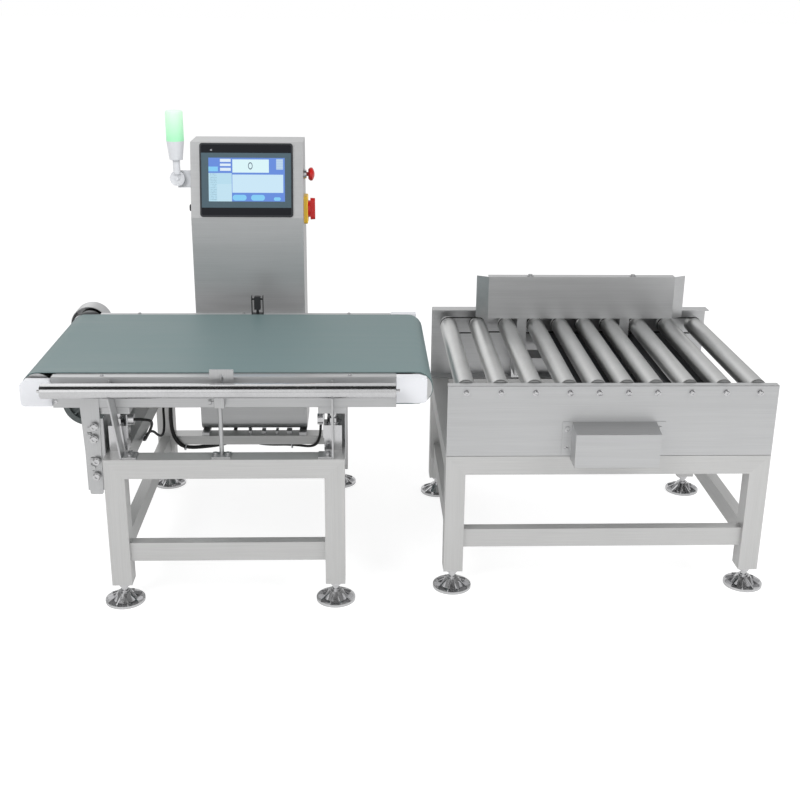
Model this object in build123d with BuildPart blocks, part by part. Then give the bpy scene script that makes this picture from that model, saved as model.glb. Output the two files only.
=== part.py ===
from build123d import *
import math
import os

os.makedirs("parts", exist_ok=True)

# A belt weigher with its control column, and the roller reject table that stands at its outfeed.
# Millimetres, +X along the product flow, +Y from the operator towards the column, +Z up.

# Where the two stands are: centre and front face of the weigher, left and front face of the table
scale_x = -448.5
front_y = -467.5
table_x = scale_x + 550.0
table_y = front_y + 62.0

# Frames, both welded from square tube
tube = 50.0
rail_thin = 29.0
leg_bottom = 55.0
scale_width = 590.0
scale_depth = 800.0
scale_height = 398.0
scale_low = 169.0
table_width = 828.0
table_depth = 666.0
table_height = 379.0
table_low = 172.0

# Levelling feet
pad_radius = 50.0
boss_radius = 17.0
stud_radius = 8.0

# Belt conveyor
belt_top = 600.0
belt_thickness = 2.0
belt_front = 74.0
belt_width = 533.0
wrap_radius = 42.0
drive_dx = -452.0
tail_dx = 472.0
journal_radius = 12.5
axis_z = belt_top - wrap_radius
plate_top = 597.0
plate_bottom = 518.0
sheet = 3.0
belt_mid = belt_front + belt_width / 2

# Roller table
roller_radius = 25.0
roller_z = 549.0
roller_front = 88.0 - 62.0
roller_rear = 692.0 - 62.0
wide_pitch = 86.0
narrow_pitch = 73.0
axle_radius = 6.0
running_gap = 0.05
panel_top = 567.0
rear_panel_top = 592.0

# Control column
column_left = -160.0
column_width = 328.0
column_front = 763.0
column_rear = 950.0
column_bottom = 179.0
column_crease = 850.0
column_top = 1063.0
head_back = 52.0
wall = 2.0


def on_scale(dx, dy, z):
    return (scale_x + dx, front_y + dy, z)


def on_table(dx, dy, z):
    return (table_x + dx, table_y + dy, z)


def facing_front(y):
    return Plane.XZ.offset(-y)


# One corner of a box, its size, and the frame that it is measured in
def block(corner, size):
    with Locations(corner):
        Box(*size, align=(Align.MIN, Align.MIN, Align.MIN))


# Square tube legs whose top ends are mitred at 45 degrees to meet the front and rear rails
def frame_legs(left, front, width, depth, height):
    for x, lean in ((left, 1), (left + width - tube, -1)):
        for y in (front, front + depth - tube):
            outer = x if lean > 0 else x + tube
            inner = x + tube if lean > 0 else x
            with BuildSketch(facing_front(y)) as outline:
                with BuildLine():
                    Polyline((outer, leg_bottom), (inner, leg_bottom), (inner, height - tube),
                             (outer, height), close=True)
                make_face()
            extrude(outline.sketch, amount=-tube)


# A top rail between two mitred legs
def mitred_rail(left, y, width, height):
    with BuildSketch(facing_front(y)) as outline:
        with BuildLine():
            Polyline((left, height), (left + width, height), (left + width - tube, height - tube),
                     (left + tube, height - tube), close=True)
        make_face()
    extrude(outline.sketch, amount=-tube)


# Scale frame
with BuildPart() as scale_legs:
    frame_legs(scale_x - scale_width / 2, front_y, scale_width, scale_depth, scale_height)
    # The rear legs carry no mitred rail, so their tops are squared off
    for x in (-scale_width / 2, scale_width / 2 - tube):
        block(on_scale(x, scale_depth - tube, scale_height - tube), (tube, tube, tube))
scale_legs.part.label = "scale_legs"
export_step(scale_legs.part, "parts/scale_legs.step")

with BuildPart() as scale_cross_rails:
    inner_width = scale_width - 2 * tube
    mitred_rail(scale_x - scale_width / 2, front_y, scale_width, scale_height)
    block(on_scale(-inner_width / 2, 10, scale_low - tube), (inner_width, rail_thin, tube))
    block(on_scale(-inner_width / 2, scale_depth - tube, scale_low - rail_thin),
          (inner_width, tube, rail_thin))

with BuildPart() as scale_side_rails:
    inner_depth = scale_depth - 2 * tube
    for x in (-scale_width / 2, scale_width / 2 - tube):
        block(on_scale(x, tube, scale_height - tube), (tube, inner_depth, tube))
        block(on_scale(x + 10, tube, scale_low - tube), (rail_thin, inner_depth, tube))

# Cross rails and side rails are cut lengths that meet face to face, so they stay separate solids
scale_rails = Compound(label="scale_rails", children=[*scale_cross_rails.solids(), *scale_side_rails.solids()])
export_step(scale_rails, "parts/scale_rails.step")

# Table frame
with BuildPart() as table_legs:
    frame_legs(table_x, table_y, table_width, table_depth, table_height)
table_legs.part.label = "table_legs"
export_step(table_legs.part, "parts/table_legs.step")

with BuildPart() as table_cross_rails:
    inner_width = table_width - 2 * tube
    for y in (0, table_depth - tube):
        mitred_rail(table_x, table_y + y, table_width, table_height)
    for y in (10, table_depth - 10 - rail_thin):
        block(on_table(tube, y, table_low - tube), (inner_width, rail_thin, tube))

with BuildPart() as table_side_rails:
    inner_depth = table_depth - 2 * tube
    for x in (0, table_width - tube):
        block(on_table(x, tube, table_height - tube), (tube, inner_depth, tube))
        block(on_table(x + 10, tube, table_low - tube), (rail_thin, inner_depth, tube))

table_rails = Compound(label="table_rails", children=[*table_cross_rails.solids(), *table_side_rails.solids()])
export_step(table_rails, "parts/table_rails.step")

# Levelling feet: a ribbed cone with a round boss, a stud with a shoulder and a lock nut
foot_places = []
for x in (-scale_width / 2 + tube / 2, scale_width / 2 - tube / 2):
    for y in (tube / 2, scale_depth - tube / 2):
        foot_places.append(on_scale(x, y, 0))
for x in (tube / 2, table_width - tube / 2):
    for y in (tube / 2, table_depth - tube / 2):
        foot_places.append(on_table(x, y, 0))

pad_height = 27.0
rib_count = 10
with BuildPart() as rib:
    with BuildSketch(Plane.XZ):
        with BuildLine():
            Polyline((boss_radius - 3, 5), (pad_radius - 4, 5), (pad_radius - 4, 10),
                     (boss_radius - 3, pad_height - 2), close=True)
        make_face()
    extrude(amount=1.5, both=True)

with BuildPart() as one_pad:
    Cylinder(pad_radius, 7, align=(Align.CENTER, Align.CENTER, Align.MIN))
    Cone(36, boss_radius, pad_height, align=(Align.CENTER, Align.CENTER, Align.MIN))
    with PolarLocations(0, rib_count):
        add(rib.part)

with BuildPart() as foot_pads:
    with Locations(*foot_places):
        add(one_pad.part)
foot_pads.part.label = "foot_pads"
export_step(foot_pads.part, "parts/foot_pads.step")

nut_across = 24.0
with BuildPart() as foot_studs:
    for place in foot_places:
        at = Pos(*place)
        with Locations(at * Pos(0, 0, pad_height)):
            Cylinder(stud_radius, leg_bottom - pad_height, align=(Align.CENTER, Align.CENTER, Align.MIN))
            Cylinder(12, 4, align=(Align.CENTER, Align.CENTER, Align.MIN))
        with BuildSketch(Plane.XY.offset(leg_bottom - 13)):
            with Locations((place[0], place[1])):
                RegularPolygon(nut_across / 2, 6, major_radius=False)
        extrude(amount=13)
foot_studs.part.label = "foot_studs"
export_step(foot_studs.part, "parts/foot_studs.step")

# Weigh posts: four solid posts on the side rails, each with a screwed adjuster and a cable outlet
post_size = 44.0
post_top = 465.0
bar_packer = 4.0
bar_top = plate_bottom - bar_packer
bar_bottom = bar_top - 14
post_places = [(side * 266.0, y) for side in (-1, 1) for y in (82.0, 600.0)]
with BuildPart() as load_posts:
    for x, y in post_places:
        inward = -1 if x > 0 else 1
        with Locations(on_scale(x, y, scale_height)):
            Box(post_size, post_size, post_top - scale_height, align=(Align.CENTER, Align.CENTER, Align.MIN))
        with Locations(on_scale(x + inward * (post_size / 2 + 1.5), y, 430)):
            Box(3, 34, 62, align=(Align.CENTER, Align.CENTER, Align.MIN))
        with Locations(Location(on_scale(x + inward * (post_size / 2 + 3), y, 474), (0, 90 * inward, 0))):
            Cylinder(14, 14, align=(Align.CENTER, Align.CENTER, Align.MIN))
        with Locations(on_scale(x, y, post_top)):
            Cylinder(8, bar_bottom - post_top, align=(Align.CENTER, Align.CENTER, Align.MIN))
            Cylinder(17, 4, align=(Align.CENTER, Align.CENTER, Align.MIN))
        for level, height in ((post_top + 4, 11), (bar_bottom - 12, 12)):
            with BuildSketch(Plane.XY.offset(level)):
                with Locations(on_scale(x, y, 0)[:2]):
                    RegularPolygon(13, 6, major_radius=False)
            extrude(amount=height)
load_posts.part.label = "load_posts"
export_step(load_posts.part, "parts/load_posts.step")

# The two aluminium bars that carry the conveyor on the posts
rear_web = 2 * belt_mid - 44.0
with BuildPart() as platform_bars:
    for side in (-1, 1):
        block(on_scale(side * 266 - 36, 50, bar_bottom), (72, 2 * (belt_mid - 50), 14))
        for y in (50, 2 * belt_mid - 72):
            block(on_scale(side * 266 - 36, y, bar_top), (72, 22, bar_packer))
    fillet(platform_bars.edges().filter_by(Axis.Z), 4)
platform_bars.part.label = "platform_bars"
export_step(platform_bars.part, "parts/platform_bars.step")

# Conveyor side plates, folded channels between the end covers
cover_left = (-488.0, -413.0, 525.0, 589.0)
cover_right = (422.0, 497.0, 532.0, 598.0)
with BuildPart() as side_plates:
    for sign, web in ((1, 44.0), (-1, rear_web)):
        with BuildSketch(Plane.YZ.offset(scale_x + cover_left[1])):
            with BuildLine():
                Polyline((front_y + web, plate_bottom), (front_y + web + sign * 22, plate_bottom),
                         (front_y + web + sign * 22, plate_bottom + sheet),
                         (front_y + web + sign * sheet, plate_bottom + sheet),
                         (front_y + web + sign * sheet, plate_top - sheet),
                         (front_y + web + sign * 28, plate_top - sheet),
                         (front_y + web + sign * 28, plate_top),
                         (front_y + web, plate_top), close=True)
            make_face()
        extrude(amount=cover_right[0] - cover_left[1])
    outer_edges = side_plates.edges().filter_by(Axis.X)
    corners = [e for e in outer_edges
               if min(abs(e.center().Y - front_y - 44), abs(e.center().Y - front_y - rear_web)) < 0.1]
    fillet(corners, 2.5)
side_plates.part.label = "side_plates"
export_step(side_plates.part, "parts/side_plates.step")

# Slider bed: a sheet under the belt on three cross bars that are bolted between the side plates
bed_left = drive_dx + 46
bed_right = tail_dx - 52
bed_top = belt_top - belt_thickness - 0.3
bar_level = plate_top - sheet - 1
with BuildPart() as slider_bed:
    block(on_scale(bed_left, belt_front, bed_top - 2), (bed_right - bed_left, belt_width, 2))
    for x in (-300, 0, 300):
        block(on_scale(x - 15, 44 + sheet, bar_level - 33), (30, rear_web - 44 - 2 * sheet, 33))
        block(on_scale(x - 15, belt_front, bar_level), (30, belt_width, bed_top - 2 - bar_level))
slider_bed.part.label = "slider_bed"
export_step(slider_bed.part, "parts/slider_bed.step")

# Endless belt round both end rollers
with BuildPart() as belt:
    with BuildSketch(facing_front(front_y + belt_front)):
        for radius, mode in ((wrap_radius, Mode.ADD), (wrap_radius - belt_thickness, Mode.SUBTRACT)):
            with Locations((scale_x + (drive_dx + tail_dx) / 2, axis_z)):
                SlotCenterToCenter(tail_dx - drive_dx, 2 * radius, mode=mode)
    extrude(amount=-belt_width)
belt.part.label = "belt"
export_step(belt.part, "parts/belt.step")

# End covers: rounded aluminium blocks that hold the roller journals
cover_depth = 26.0
with BuildPart() as end_covers:
    for y in (36.0, 2 * belt_mid - 36.0 - cover_depth):
        for left, right, bottom, top in (cover_left, cover_right):
            with BuildSketch(facing_front(front_y + y)) as outline:
                with Locations((scale_x + (left + right) / 2, (bottom + top) / 2)):
                    Rectangle(right - left, top - bottom)
                low = outline.vertices().sort_by(Axis.Z)[:2]
                fillet(low, 9)
                high = outline.vertices().sort_by(Axis.Z)[-2:]
                chamfer(high.sort_by(Axis.X)[0 if left < 0 else 1], 10)
            extrude(amount=-cover_depth)
    # Journal sockets from inside; the drive journal goes right through its rear cover
    for dx in (drive_dx, tail_dx):
        with Locations(Location(on_scale(dx, 46, axis_z), (-90, 0, 0))):
            Cylinder(journal_radius + running_gap, 20, align=(Align.CENTER, Align.CENTER, Align.MIN),
                     mode=Mode.SUBTRACT)
        with Locations(Location(on_scale(dx, 2 * belt_mid - 46, axis_z), (90, 0, 0))):
            Cylinder(journal_radius + running_gap, 20, align=(Align.CENTER, Align.CENTER, Align.MIN),
                     mode=Mode.SUBTRACT)
    with Locations(Location(on_scale(drive_dx, 2 * belt_mid - 50, axis_z), (-90, 0, 0))):
        Cylinder(journal_radius + running_gap, 30, align=(Align.CENTER, Align.CENTER, Align.MIN),
                 mode=Mode.SUBTRACT)
end_covers.part.label = "end_covers"
export_step(end_covers.part, "parts/end_covers.step")

# Rollers: a shell with stepped journals, turned about Y
shell_radius = wrap_radius - belt_thickness - 0.3
pulley_front = 662.0
pulley_width = 30.0


def roller_profile(x, journal_rear):
    front_end = front_y + 46.5
    shell_front = front_y + belt_front - 4
    shell_rear = front_y + belt_front + belt_width + 4
    with BuildSketch(Plane.XY.offset(axis_z)) as outline:
        with BuildLine():
            Polyline((x, front_end), (x + journal_radius, front_end), (x + journal_radius, shell_front),
                     (x + shell_radius, shell_front), (x + shell_radius, shell_rear),
                     (x + journal_radius, shell_rear), (x + journal_radius, journal_rear),
                     (x, journal_rear), close=True)
        make_face()
    revolve(outline.sketch, axis=Axis((x, 0, axis_z), (0, 1, 0)))



# A toothed pulley with two flanges, its axis along Y
def toothed_pulley(x, z, radius, teeth):
    with BuildSketch(facing_front(front_y + pulley_front)) as toothed:
        with Locations((x, z)):
            Circle(radius)
            with PolarLocations(radius, teeth):
                Rectangle(2.4, 3.2, mode=Mode.SUBTRACT)
    extrude(toothed.sketch, amount=-pulley_width)
    for y in (pulley_front - 1.5, pulley_front + pulley_width):
        with BuildSketch(facing_front(front_y + y)) as flange:
            with Locations((x, z)):
                Circle(radius + 4)
        extrude(flange.sketch, amount=-1.5)


driven_radius = 35.0
motor_radius = 25.0
motor_dx = -420.0
motor_z = 405.0
with BuildPart() as drive_roller:
    roller_profile(scale_x + drive_dx, front_y + pulley_front + pulley_width + 4)
    toothed_pulley(scale_x + drive_dx, axis_z, driven_radius, 28)
drive_roller.part.label = "drive_roller"
export_step(drive_roller.part, "parts/drive_roller.step")

with BuildPart() as tail_roller:
    roller_profile(scale_x + tail_dx, front_y + 2 * belt_mid - 46.5)
tail_roller.part.label = "tail_roller"
export_step(tail_roller.part, "parts/tail_roller.step")

# Motor plate bolted to the rear side plate, the motor below the belt and its pulley behind
plate_front = rear_web
motor_plate_thickness = 8.0
with BuildPart() as motor_plate:
    with BuildSketch(facing_front(front_y + plate_front)):
        with BuildLine():
            Polyline((scale_x - 345, 590), (scale_x - 411, 590), (scale_x - 411, 518),
                     (scale_x - 492, 518), (scale_x - 492, 350), (scale_x - 460, 335),
                     (scale_x - 380, 335), (scale_x - 345, 370), close=True)
        make_face()
        with Locations((scale_x + motor_dx, motor_z)):
            Circle(10.2, mode=Mode.SUBTRACT)
    extrude(amount=-motor_plate_thickness)
motor_plate.part.label = "motor_plate"
export_step(motor_plate.part, "parts/motor_plate.step")

motor_body = 66.0
motor_front = 400.0
gear_front = 560.0
with BuildPart() as drive_motor:
    with BuildSketch(facing_front(front_y + motor_front)):
        with Locations((scale_x + motor_dx, motor_z)):
            Circle(motor_body)
    extrude(amount=-(gear_front - motor_front))
    # The fan end is a deep ring round a grille
    with BuildSketch(facing_front(front_y + motor_front)):
        with Locations((scale_x + motor_dx, motor_z)):
            Circle(motor_body - 15)
    extrude(amount=-12, mode=Mode.SUBTRACT)
    with BuildSketch(facing_front(front_y + motor_front + 4)):
        with Locations((scale_x + motor_dx, motor_z)):
            for spoke_turn in (0, 45, 90, 135):
                Rectangle(2 * motor_body - 26, 4, rotation=spoke_turn)
            Circle(14)
    extrude(amount=-12)
    with BuildSketch(facing_front(front_y + gear_front)) as gear_face:
        with Locations((scale_x + motor_dx, motor_z)):
            RectangleRounded(110, 110, 8)
    extrude(amount=-(plate_front - gear_front))
    block(on_scale(motor_dx + 40, motor_front + 50, motor_z + 10), (46, 60, 44))
drive_motor.part.label = "drive_motor"
export_step(drive_motor.part, "parts/drive_motor.step")

with BuildPart() as motor_pulley:
    toothed_pulley(scale_x + motor_dx, motor_z, motor_radius, 20)
    with Locations(Location(on_scale(motor_dx, plate_front + 0.3, motor_z), (-90, 0, 0))):
        Cylinder(10, pulley_front + pulley_width - plate_front, align=(Align.CENTER, Align.CENTER, Align.MIN))
motor_pulley.part.label = "motor_pulley"
export_step(motor_pulley.part, "parts/motor_pulley.step")

# Toothed belt: the outline tangent to both pulleys
belt_gap = 0.4
with BuildPart() as timing_belt:
    for grow, mode in ((belt_gap + 3, Mode.ADD), (belt_gap, Mode.SUBTRACT)):
        with BuildSketch(facing_front(front_y + pulley_front + 3)):
            with Locations((scale_x + drive_dx, axis_z)):
                Circle(driven_radius + grow)
            with Locations((scale_x + motor_dx, motor_z)):
                Circle(motor_radius + grow)
            make_hull()
        extrude(amount=-(pulley_width - 6), mode=mode)
timing_belt.part.label = "timing_belt"
export_step(timing_belt.part, "parts/timing_belt.step")

# Pulley guard: a deep rounded cover, open towards the conveyor
guard_radius = 54.0
guard_front = plate_front + motor_plate_thickness
guard_rear = 705.0
guard_span = math.hypot(drive_dx - motor_dx, axis_z - motor_z)
guard_turn = math.degrees(math.atan2(axis_z - motor_z, drive_dx - motor_dx))
guard_centre = (scale_x + (drive_dx + motor_dx) / 2, (axis_z + motor_z) / 2)
with BuildPart() as pulley_guard:
    for start, depth, radius, mode in (
            (guard_front, guard_rear - guard_front, guard_radius, Mode.ADD),
            (guard_front, guard_rear - guard_front - wall, guard_radius - wall, Mode.SUBTRACT)):
        with BuildSketch(facing_front(front_y + start)):
            with Locations(Location(guard_centre, guard_turn)):
                SlotCenterToCenter(guard_span, 2 * radius)
        extrude(amount=-depth, mode=mode)
pulley_guard.part.label = "pulley_guard"
export_step(pulley_guard.part, "parts/pulley_guard.step")

# Front brace: a tapered strap with two slots, screwed to the side plate above and to the skirt behind it
strap_front = 41.0
strap_slots = ((-330.0, 455.0, 34.0), (-327.0, 372.0, 38.0))
with BuildPart() as slotted_brace:
    with BuildSketch(facing_front(front_y + strap_front)) as strap:
        with BuildLine():
            Polyline((scale_x - 350, 560), (scale_x - 301, 560), (scale_x - 308, 290),
                     (scale_x - 340, 290), close=True)
        make_face()
        fillet(strap.vertices(), 5)
        for dx, z, length in strap_slots:
            with Locations((scale_x + dx, z)):
                SlotOverall(length, 11, rotation=90, mode=Mode.SUBTRACT)
    extrude(amount=-sheet)
    # Bolts: two at the top, two in each slot
    bolt_places = [(-337, 545), (-316, 545)]
    bolt_places += [(dx, z + up) for dx, z, length in strap_slots for up in (-9, 9)]
    for dx, z in bolt_places:
        with Locations(Location(on_scale(dx, strap_front, z), (90, 0, 0))):
            Cylinder(8, 1.2, align=(Align.CENTER, Align.CENTER, Align.MIN))
            Cylinder(5.5, 6, align=(Align.CENTER, Align.CENTER, Align.MIN))
slotted_brace.part.label = "slotted_brace"
export_step(slotted_brace.part, "parts/slotted_brace.step")

# Skirts: sheets on the outer faces of the side rails, the left one with a folded front flange
skirt_front = strap_front + sheet
with BuildPart() as side_skirts:
    block(on_scale(-scale_width / 2 - sheet, skirt_front, 300), (sheet, 380, 190))
    block(on_scale(-345, skirt_front, 300), (45 + sheet - 1, sheet, 190))
    block(on_scale(scale_width / 2, 80, 350), (sheet, 560, 140))
    front_fold = side_skirts.edges().filter_by(Axis.Z).sort_by(Axis.Y)[0:2].sort_by(Axis.X)[1]
    fillet(front_fold, 2)
side_skirts.part.label = "side_skirts"
export_step(side_skirts.part, "parts/side_skirts.step")

# Polished guard tube in front of the belt, with a threaded stud in each plugged end
guard_tube_radius = 18.5
guard_tube_y = 2.0
guard_tube_z = 576.0
tube_left = -428.0
tube_right = 420.0
with BuildPart() as guard_tube:
    with Locations(Location(on_scale(tube_left, guard_tube_y, guard_tube_z), (0, 90, 0))):
        Cylinder(guard_tube_radius, tube_right - tube_left, align=(Align.CENTER, Align.CENTER, Align.MIN))
    chamfer(guard_tube.edges().filter_by(GeomType.CIRCLE), 1.5)
    with Locations(Location(on_scale(tube_left - 9, guard_tube_y, guard_tube_z), (0, 90, 0))):
        Cylinder(4, tube_right - tube_left + 18, align=(Align.CENTER, Align.CENTER, Align.MIN))
guard_tube.part.label = "guard_tube"
export_step(guard_tube.part, "parts/guard_tube.step")

# Brackets that cradle the guard tube, each a flat upright on a screwed foot
bracket_thickness = 4.0
with BuildPart() as guard_brackets:
    for dx, lean in ((-253.0, 6.0), (264.0, 0.0)):
        inward = 1 if dx < 0 else -1
        # The left upright leans outwards on its way up to the tube
        leaning = Plane(origin=(scale_x + dx, 0, scale_height), x_dir=(0, 1, 0),
                        z_dir=(1, 0, math.tan(math.radians(lean))))
        rise = 1 / math.cos(math.radians(lean))
        with BuildSketch(leaning):
            with BuildLine():
                outline = [(4, 0), (47, 0), (40, 192), (22, 196), (-16, 164), (-8, 122)]
                Polyline(*[(front_y + y, z * rise) for y, z in outline], close=True)
            make_face()
        extrude(amount=bracket_thickness)
        foot_left = dx + bracket_thickness if inward > 0 else dx - 34
        block(on_scale(foot_left, 6, scale_height), (34, 40, 4))
        for y in (16, 36):
            with Locations(on_scale(foot_left + 20 - 3 * inward, y, scale_height + 4)):
                Cylinder(8, 1.5, align=(Align.CENTER, Align.CENTER, Align.MIN))
                Cylinder(5.5, 6, align=(Align.CENTER, Align.CENTER, Align.MIN))
    with Locations(Location(on_scale(tube_left, guard_tube_y, guard_tube_z), (0, 90, 0))):
        Cylinder(guard_tube_radius, tube_right - tube_left, align=(Align.CENTER, Align.CENTER, Align.MIN),
                 mode=Mode.SUBTRACT)
guard_brackets.part.label = "guard_brackets"
export_step(guard_brackets.part, "parts/guard_brackets.step")

# Sensor post: a rod on a foot plate, a split clamp with a thumb knob, and the slotted sensor plate
post_dx = -8.0
post_y = 31.0
with BuildPart() as sensor_rod:
    block(on_scale(post_dx - 23, 8, scale_height), (46, 36, 4))
    for x in (-15, 15):
        with Locations(on_scale(post_dx + x, 26, scale_height + 4)):
            Cylinder(8, 1.5, align=(Align.CENTER, Align.CENTER, Align.MIN))
            Cylinder(5.5, 6, align=(Align.CENTER, Align.CENTER, Align.MIN))
    with Locations(on_scale(post_dx, post_y, scale_height)):
        Cylinder(5.5, 212, align=(Align.CENTER, Align.CENTER, Align.MIN))

with BuildPart() as sensor_clamp:
    block(on_scale(post_dx - 12.5, 17, 526), (25, 26, 26))
    fillet(sensor_clamp.edges().filter_by(Axis.Z), 2)
    with Locations(on_scale(post_dx, post_y, 520)):
        Cylinder(5.5, 40, align=(Align.CENTER, Align.CENTER, Align.MIN), mode=Mode.SUBTRACT)
    with Locations(Location(on_scale(post_dx - 12.5, 24, 540), (0, -90, 0))):
        Cylinder(3, 8, align=(Align.CENTER, Align.CENTER, Align.MIN))
        with Locations((0, 0, 7)):
            Cylinder(7, 6, align=(Align.CENTER, Align.CENTER, Align.MIN))

with BuildPart() as sensor_plate:
    with BuildSketch(facing_front(front_y + post_y - 9)):
        with Locations((scale_x, 606)):
            RectangleRounded(58, 34, 2)
        with Locations((scale_x - 1, 598)):
            SlotOverall(26, 12, rotation=90, mode=Mode.SUBTRACT)
    extrude(amount=-sheet)
    with Locations(on_scale(post_dx, post_y, 592)):
        Box(16, 14, 18, align=(Align.CENTER, Align.CENTER, Align.MIN))
        Cylinder(5.5, 18, align=(Align.CENTER, Align.CENTER, Align.MIN), mode=Mode.SUBTRACT)

sensor_post = Compound(label="sensor_post",
                       children=[*sensor_rod.solids(), *sensor_clamp.solids(), *sensor_plate.solids()])
export_step(sensor_post, "parts/sensor_post.step")

# Photo-eye in its forked bracket on the rear side plate
eye_dx = 38.0
eye_y = rear_web - 14
with BuildPart() as eye_bracket:
    block(on_scale(eye_dx - 17, eye_y - 10, plate_top), (34, 22, 2))
    for x in (-17, 15):
        block(on_scale(eye_dx + x, eye_y - 8, plate_top), (2, 18, 54))

with BuildPart() as eye_body:
    block(on_scale(eye_dx - 9, eye_y - 6, plate_top + 14), (18, 16, 38))
    fillet(eye_body.edges().filter_by(Axis.Y), 2)
    with Locations(Location(on_scale(eye_dx, eye_y + 2, plate_top + 44), (0, 90, 0))):
        Cylinder(2.5, 30)
    with Locations(on_scale(eye_dx, eye_y + 2, plate_top + 2)):
        Cylinder(4, 12, align=(Align.CENTER, Align.CENTER, Align.MIN))

photo_eye = Compound(label="photo_eye", children=[*eye_bracket.solids(), *eye_body.solids()])
export_step(photo_eye, "parts/photo_eye.step")

# Control column: a folded front with top and bottom, two side sheets and a hinged rear door
column_back = column_rear - wall
front_line = front_y + column_front
top_front = front_line + head_back
column_right = column_left + column_width
bend = 40.0


# Outline of the column seen from the side, set in by a wall thickness, at one place along X
def column_sketch(x, inset):
    slope = math.atan2(head_back, column_top - column_crease)
    low = column_bottom + inset
    high = column_top - inset
    front = front_line + inset
    crease_z = column_crease - inset * math.tan(slope / 2)
    top_y = front + (high - crease_z) * math.tan(slope)
    with BuildSketch(Plane.YZ.offset(scale_x + x)) as outline:
        with BuildLine():
            bottom = Line((column_y_back, low), (front_line + bend, low))
            RadiusArc(bottom @ 1, (front, column_bottom + bend), bend - inset)
            Polyline((front, column_bottom + bend), (front, crease_z), (top_y, high),
                     (column_y_back, high), (column_y_back, low))
        make_face()
    return outline.sketch


column_y_back = front_y + column_back
inner_span = column_width - 2 * wall
cable_entries = (-60.0, -20.0)
cable_entry_y = 845.0
with BuildPart() as column_wrap:
    extrude(column_sketch(column_left + wall, 0), amount=inner_span)
    extrude(column_sketch(column_left + wall, wall), amount=inner_span, mode=Mode.SUBTRACT)
    for dx in cable_entries:
        with Locations(on_scale(dx, cable_entry_y, column_bottom)):
            Cylinder(9, 3 * wall, mode=Mode.SUBTRACT)
column_wrap.part.label = "column_wrap"
export_step(column_wrap.part, "parts/column_wrap.step")

# Side sheets; the right one is pierced for the stop button and the main switch
stop_y = 845.0
stop_z = 967.0
switch_y = 850.0
switch_z = 863.0
with BuildPart() as column_sides:
    for x in (column_left, column_right - wall):
        extrude(column_sketch(x, 0), amount=wall)
    for y, z, radius in ((stop_y, stop_z, 11.0), (switch_y, switch_z, 6.0)):
        with Locations(Location(on_scale(column_right, y, z), (0, 90, 0))):
            Cylinder(radius, 3 * wall, mode=Mode.SUBTRACT)
column_sides.part.label = "column_sides"
export_step(column_sides.part, "parts/column_sides.step")

# Column mounts: the cross rail in front with two pads, and the runners and spacers on the low rear rail
with BuildPart() as column_mounts:
    block(on_scale(-scale_width / 2 + tube, 709, scale_height - tube), (scale_width - 2 * tube, tube, tube))
    for x in (-100, 108):
        with Locations(Location(on_scale(x, 709 + tube, scale_height - tube / 2), (-90, 0, 0))):
            Cylinder(15, column_front - 709 - tube, align=(Align.CENTER, Align.CENTER, Align.MIN))
    for x in (column_left + 2, column_right - 24):
        block(on_scale(x, scale_depth - tube + 2, scale_low), (22, 180, column_bottom - scale_low))
    for x, width in ((-14, 8), (26, 12), (70, 8), (104, 16)):
        block(on_scale(x, scale_depth - 36, scale_low), (width, 30, column_bottom - scale_low))
column_mounts.part.label = "column_mounts"
export_step(column_mounts.part, "parts/column_mounts.step")

# Rear door, its hinge barrels and a quarter-turn lock; the fixed barrels carry the pins
hinge_y = column_rear + 6.0
hinge_levels = (290.0, 900.0)
barrel = 4.0
pin_radius = 2.0
door_front = column_back + 0.3
with BuildPart() as column_door:
    block(on_scale(column_left, door_front, column_bottom), (column_width, wall, column_top - column_bottom))
    for z in hinge_levels:
        block(on_scale(column_left, door_front + wall, z + 20.3), (30, 2, 24.7))
        with Locations(on_scale(column_left, hinge_y, z + 20.3)):
            Cylinder(barrel, 24.7, align=(Align.CENTER, Align.CENTER, Align.MIN))
        block(on_scale(column_left - 1, door_front + wall, z + 20.3), (3, hinge_y - door_front - wall, 24.7))
        with Locations(on_scale(column_left, hinge_y, z + 20.3)):
            Cylinder(pin_radius + running_gap, 24.7, align=(Align.CENTER, Align.CENTER, Align.MIN),
                     mode=Mode.SUBTRACT)
    for z in (380, 820):
        with Locations(Location(on_scale(column_right - 25, door_front + wall, z), (-90, 0, 0))):
            Cylinder(11, 3, align=(Align.CENTER, Align.CENTER, Align.MIN))
            Cylinder(8, 6, align=(Align.CENTER, Align.CENTER, Align.MIN))
column_door.part.label = "column_door"
export_step(column_door.part, "parts/column_door.step")

with BuildPart() as door_hinges:
    for z in hinge_levels:
        block(on_scale(column_left - 2, column_back - 26, z), (2, hinge_y - column_back + 26, 20))
        with Locations(on_scale(column_left, hinge_y, z)):
            Cylinder(barrel, 20, align=(Align.CENTER, Align.CENTER, Align.MIN))
            Cylinder(pin_radius, 44, align=(Align.CENTER, Align.CENTER, Align.MIN))
door_hinges.part.label = "door_hinges"
export_step(door_hinges.part, "parts/door_hinges.step")

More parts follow.
